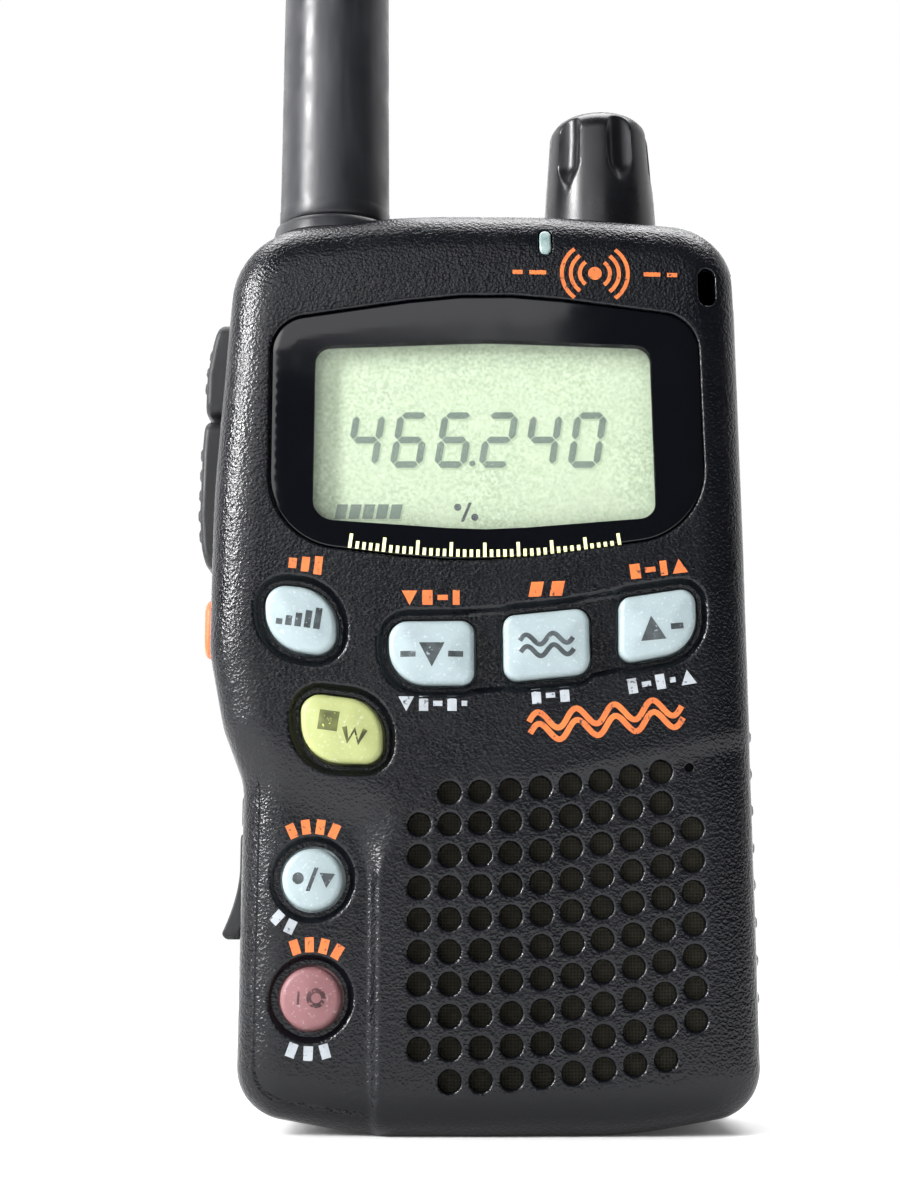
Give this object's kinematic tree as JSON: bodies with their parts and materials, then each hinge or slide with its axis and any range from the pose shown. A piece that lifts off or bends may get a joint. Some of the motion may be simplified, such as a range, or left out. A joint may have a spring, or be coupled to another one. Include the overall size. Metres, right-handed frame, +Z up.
{
  "type": "handheld two-way radio",
  "caption": "Pocket hand-held FM two-way radio with display, keypad, loudspeaker grille, screw-on antenna, tuning knob, side keys, slide-off battery and belt clip.",
  "frame": {"origin": "middle of the flat base, on the surface that the radio stands on, halfway through the 25 mm body", "axes": "+X to the user's right, -Y out of the display side, +Z up along the antenna"},
  "size_m": [0.0494, 0.0319, 0.2278],
  "materials": {
    "case_plastic": "fine spark-eroded black-blue moulding, worn glossy on the edges",
    "gloss_window": "polished clear window, black printed round the aperture",
    "lcd_glass": "grey-green reflective display",
    "white_plastic": "natural white moulding",
    "lens_plastic": "milky grey light pipe",
    "key_grey": "satin silicone key with printed legend",
    "key_yellow": "satin silicone key with printed legend",
    "key_red": "satin silicone key with printed legend",
    "key_orange": "satin orange rubber",
    "black_rubber": "matt black rubber",
    "antenna_rubber": "smooth semi-gloss rubber",
    "knob_plastic": "satin black moulding",
    "black_plastic": "fine-grained black nylon",
    "circuit_board": "green solder mask",
    "steel": "zinc plated",
    "shield_tin": "tin plated sheet",
    "gold_brass": "thin gold plating",
    "magnet": "plated magnet",
    "cone_paper": "polymer film cone",
    "grille_cloth": "fine dark cloth",
    "cell_can": "drawn aluminium can"
  },
  "bodies": {
    "radio": {"front_case": "case_plastic", "rear_case": "case_plastic", "display_window": "gloss_window", "lcd_panel": "lcd_glass", "lcd_holder": "white_plastic", "light_guide": "white_plastic", "board_connector": "white_plastic", "jack_insulator": "white_plastic", "indicator_lens": "lens_plastic", "indicator_led": "lens_plastic", "dc_cover_strap": "black_rubber", "key_mat": "black_rubber", "microphone_boot": "black_rubber", "audio_jack": "black_plastic", "dc_jack": "black_plastic", "encoder_body": "black_plastic", "clip_base": "black_plastic", "main_board": "circuit_board", "rf_board": "circuit_board", "side_board": "circuit_board", "case_screws": "steel", "latch_pin": "steel", "clip_pin": "steel", "clip_spring": "steel", "encoder_nut": "steel", "speaker_frame": "steel", "key_domes": "steel", "side_switches": "steel", "microphone": "steel", "jack_nut": "steel", "main_shield": "shield_tin", "rf_shields": "shield_tin", "antenna_jack": "gold_brass", "battery_contacts": "gold_brass", "speaker_magnet": "magnet", "speaker_cone": "cone_paper", "speaker_mesh": "grille_cloth"},
    "antenna_collar": {"antenna_seal": "black_rubber"},
    "antenna": {"antenna_sleeve": "antenna_rubber", "antenna_element": "gold_brass", "antenna_plug": "gold_brass"},
    "knob": {"tuning_knob": "knob_plastic", "encoder_shaft": "steel"},
    "battery": {"battery_case": "case_plastic", "battery_cover": "case_plastic", "battery_cell": "cell_can", "battery_pads": "gold_brass"},
    "latch": {"battery_latch": "black_plastic"},
    "clip": {"belt_clip": "black_plastic"},
    "jack_cover": {"dc_jack_cover": "black_rubber"},
    "push_to_talk": {"push_to_talk_key": "black_rubber"},
    "monitor": {"monitor_key": "black_rubber"},
    "power": {"power_key": "key_orange"},
    "volume": {"volume_key": "key_grey"},
    "function": {"function_key": "key_yellow"},
    "down": {"down_key": "key_grey"},
    "band": {"band_key": "key_grey"},
    "up": {"up_key": "key_grey"},
    "memory": {"memory_key": "key_grey"},
    "range": {"range_key": "key_red"}
  },
  "joints": [
    {"name": "volume_press", "type": "slide", "parent": "radio", "child": "volume", "axis": [0, 1, 0], "range_m": [0, 0.0005], "stiffness_N_per_m": 2000, "springref_m": -0.0002},
    {"name": "function_press", "type": "slide", "parent": "radio", "child": "function", "axis": [0, 1, 0], "range_m": [0, 0.0005], "stiffness_N_per_m": 2000, "springref_m": -0.0002},
    {"name": "down_press", "type": "slide", "parent": "radio", "child": "down", "axis": [0, 1, 0], "range_m": [0, 0.0005], "stiffness_N_per_m": 2000, "springref_m": -0.0002},
    {"name": "band_press", "type": "slide", "parent": "radio", "child": "band", "axis": [0, 1, 0], "range_m": [0, 0.0005], "stiffness_N_per_m": 2000, "springref_m": -0.0002},
    {"name": "up_press", "type": "slide", "parent": "radio", "child": "up", "axis": [0, 1, 0], "range_m": [0, 0.0005], "stiffness_N_per_m": 2000, "springref_m": -0.0002},
    {"name": "memory_press", "type": "slide", "parent": "radio", "child": "memory", "axis": [0, 1, 0], "range_m": [0, 0.0005], "stiffness_N_per_m": 2000, "springref_m": -0.0002},
    {"name": "range_press", "type": "slide", "parent": "radio", "child": "range", "axis": [0, 1, 0], "range_m": [0, 0.0005], "stiffness_N_per_m": 2000, "springref_m": -0.0002},
    {"name": "push_to_talk_press", "type": "slide", "parent": "radio", "child": "push_to_talk", "axis": [1, 0, 0], "range_m": [0, 0.0007], "stiffness_N_per_m": 2000, "springref_m": -0.0002},
    {"name": "monitor_press", "type": "slide", "parent": "radio", "child": "monitor", "axis": [1, 0, 0], "range_m": [0, 0.0007], "stiffness_N_per_m": 2000, "springref_m": -0.0002},
    {"name": "power_press", "type": "slide", "parent": "radio", "child": "power", "axis": [1, 0, 0], "range_m": [0, 0.0007], "stiffness_N_per_m": 2000, "springref_m": -0.0002},
    {"name": "tuning_turn", "type": "hinge", "parent": "radio", "child": "knob", "pos_m": [0.0103, 0, 0.0814], "axis": [0, 0, 1], "continuous": true},
    {"name": "antenna_lift", "type": "slide", "parent": "radio", "child": "antenna_collar", "axis": [0, 0, 1], "range_m": [0, 0.00494]},
    {"name": "antenna_turn", "type": "hinge", "parent": "antenna_collar", "child": "antenna", "pos_m": [-0.01504, 0, 0.0828], "axis": [0, 0, 1], "range_deg": [0, 2520.5]},
    {"name": "jack_cover_swing", "type": "hinge", "parent": "radio", "child": "jack_cover", "pos_m": [-0.02295, -0.0026, 0.0256], "axis": [0, 1, 0], "range_deg": [0, 110], "stiffness_Nm_per_rad": 0.0005, "springref_deg": -11.46},
    {"name": "latch_swing", "type": "hinge", "parent": "radio", "child": "latch", "pos_m": [0, 0.0016, 0.00105], "axis": [-1, 0, 0], "range_deg": [0, 90.1]},
    {"name": "battery_slide", "type": "slide", "parent": "radio", "child": "battery", "axis": [0, 0, -1], "range_m": [0, 0.006]},
    {"name": "clip_swing", "type": "hinge", "parent": "radio", "child": "clip", "pos_m": [0, 0.0153, 0.069], "axis": [1, 0, 0], "range_deg": [0, 18], "stiffness_Nm_per_rad": 0.4, "springref_deg": -11.46}
  ],
  "couplings": [
    {"joint": "antenna_turn", "follows": "antenna_lift", "rad_per_m": 8905.3},
    {"joint": "latch_swing", "follows": "battery_slide", "rad_per_m": 261.8}
  ]
}
